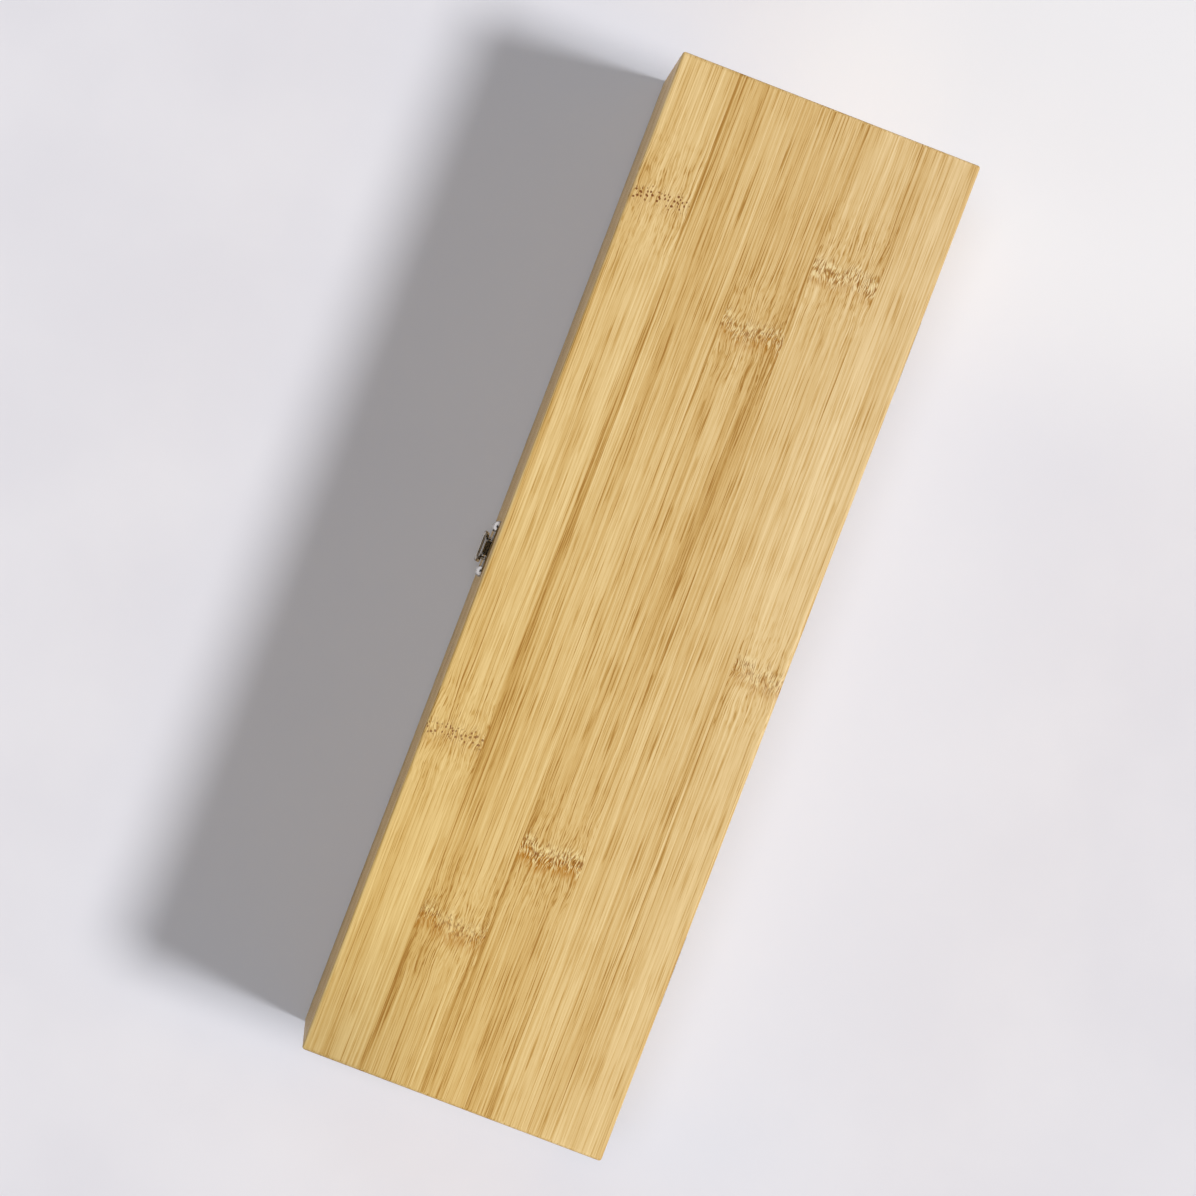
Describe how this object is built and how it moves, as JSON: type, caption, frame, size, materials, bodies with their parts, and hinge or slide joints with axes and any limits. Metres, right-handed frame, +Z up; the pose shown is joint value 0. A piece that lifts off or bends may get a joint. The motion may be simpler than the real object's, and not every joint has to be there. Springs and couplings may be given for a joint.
{
  "type": "wooden wine box",
  "caption": "Long rectangular bamboo box sized for a wine bottle, with a hinged tray lid and a small wire-bail toggle latch on its front.",
  "frame": {"origin": "centre of the underside of the base board, on the surface that the box stands on", "axes": "+X along the box's length, -Y towards the front wall with the latch, +Y towards the hinges, +Z up out of the lid"},
  "size_m": [0.35, 0.1118, 0.1],
  "materials": {
    "bamboo": "fine-sanded laminated bamboo with a thin satin seal",
    "nickel_plate": "bright nickel plate on pressed steel and wire",
    "screw_metal": "bright nickel plate on screws"
  },
  "bodies": {
    "base": {"base_panel": "bamboo", "base_front_wall": "bamboo", "base_back_wall": "bamboo", "base_left_end": "bamboo", "base_right_end": "bamboo", "hinge_left_base_leaf": "nickel_plate", "hinge_right_base_leaf": "nickel_plate", "hinge_left_pin": "nickel_plate", "hinge_right_pin": "nickel_plate", "hinge_base_screws": "screw_metal", "latch_base_plate": "nickel_plate", "latch_base_screws": "screw_metal", "latch_pivot_pin": "nickel_plate"},
    "lid": {"lid_panel": "bamboo", "lid_front_rail": "bamboo", "lid_back_rail": "bamboo", "lid_left_rail": "bamboo", "lid_right_rail": "bamboo", "hinge_left_lid_leaf": "nickel_plate", "hinge_right_lid_leaf": "nickel_plate", "hinge_lid_screws": "screw_metal", "catch_plate": "nickel_plate", "catch_screws": "screw_metal"},
    "lever": {"latch_lever": "nickel_plate"},
    "bail": {"latch_bail": "nickel_plate"}
  },
  "joints": [
    {"name": "lid_hinge", "type": "hinge", "parent": "base", "child": "lid", "pos_m": [0, 0.05383, 0.0701], "axis": [-1, 0, 0], "range_deg": [0, 180]},
    {"name": "lever_pivot", "type": "hinge", "parent": "base", "child": "lever", "pos_m": [0, -0.05475, 0.062], "axis": [-1, 0, 0], "range_deg": [0, 110]},
    {"name": "bail_pivot", "type": "hinge", "parent": "lever", "child": "bail", "pos_m": [0, -0.05475, 0.058], "axis": [-1, 0, 0], "range_deg": [-143, 0]}
  ],
  "couplings": [
    {"joint": "bail_pivot", "follows": "lever_pivot", "ratio": -1.3}
  ]
}
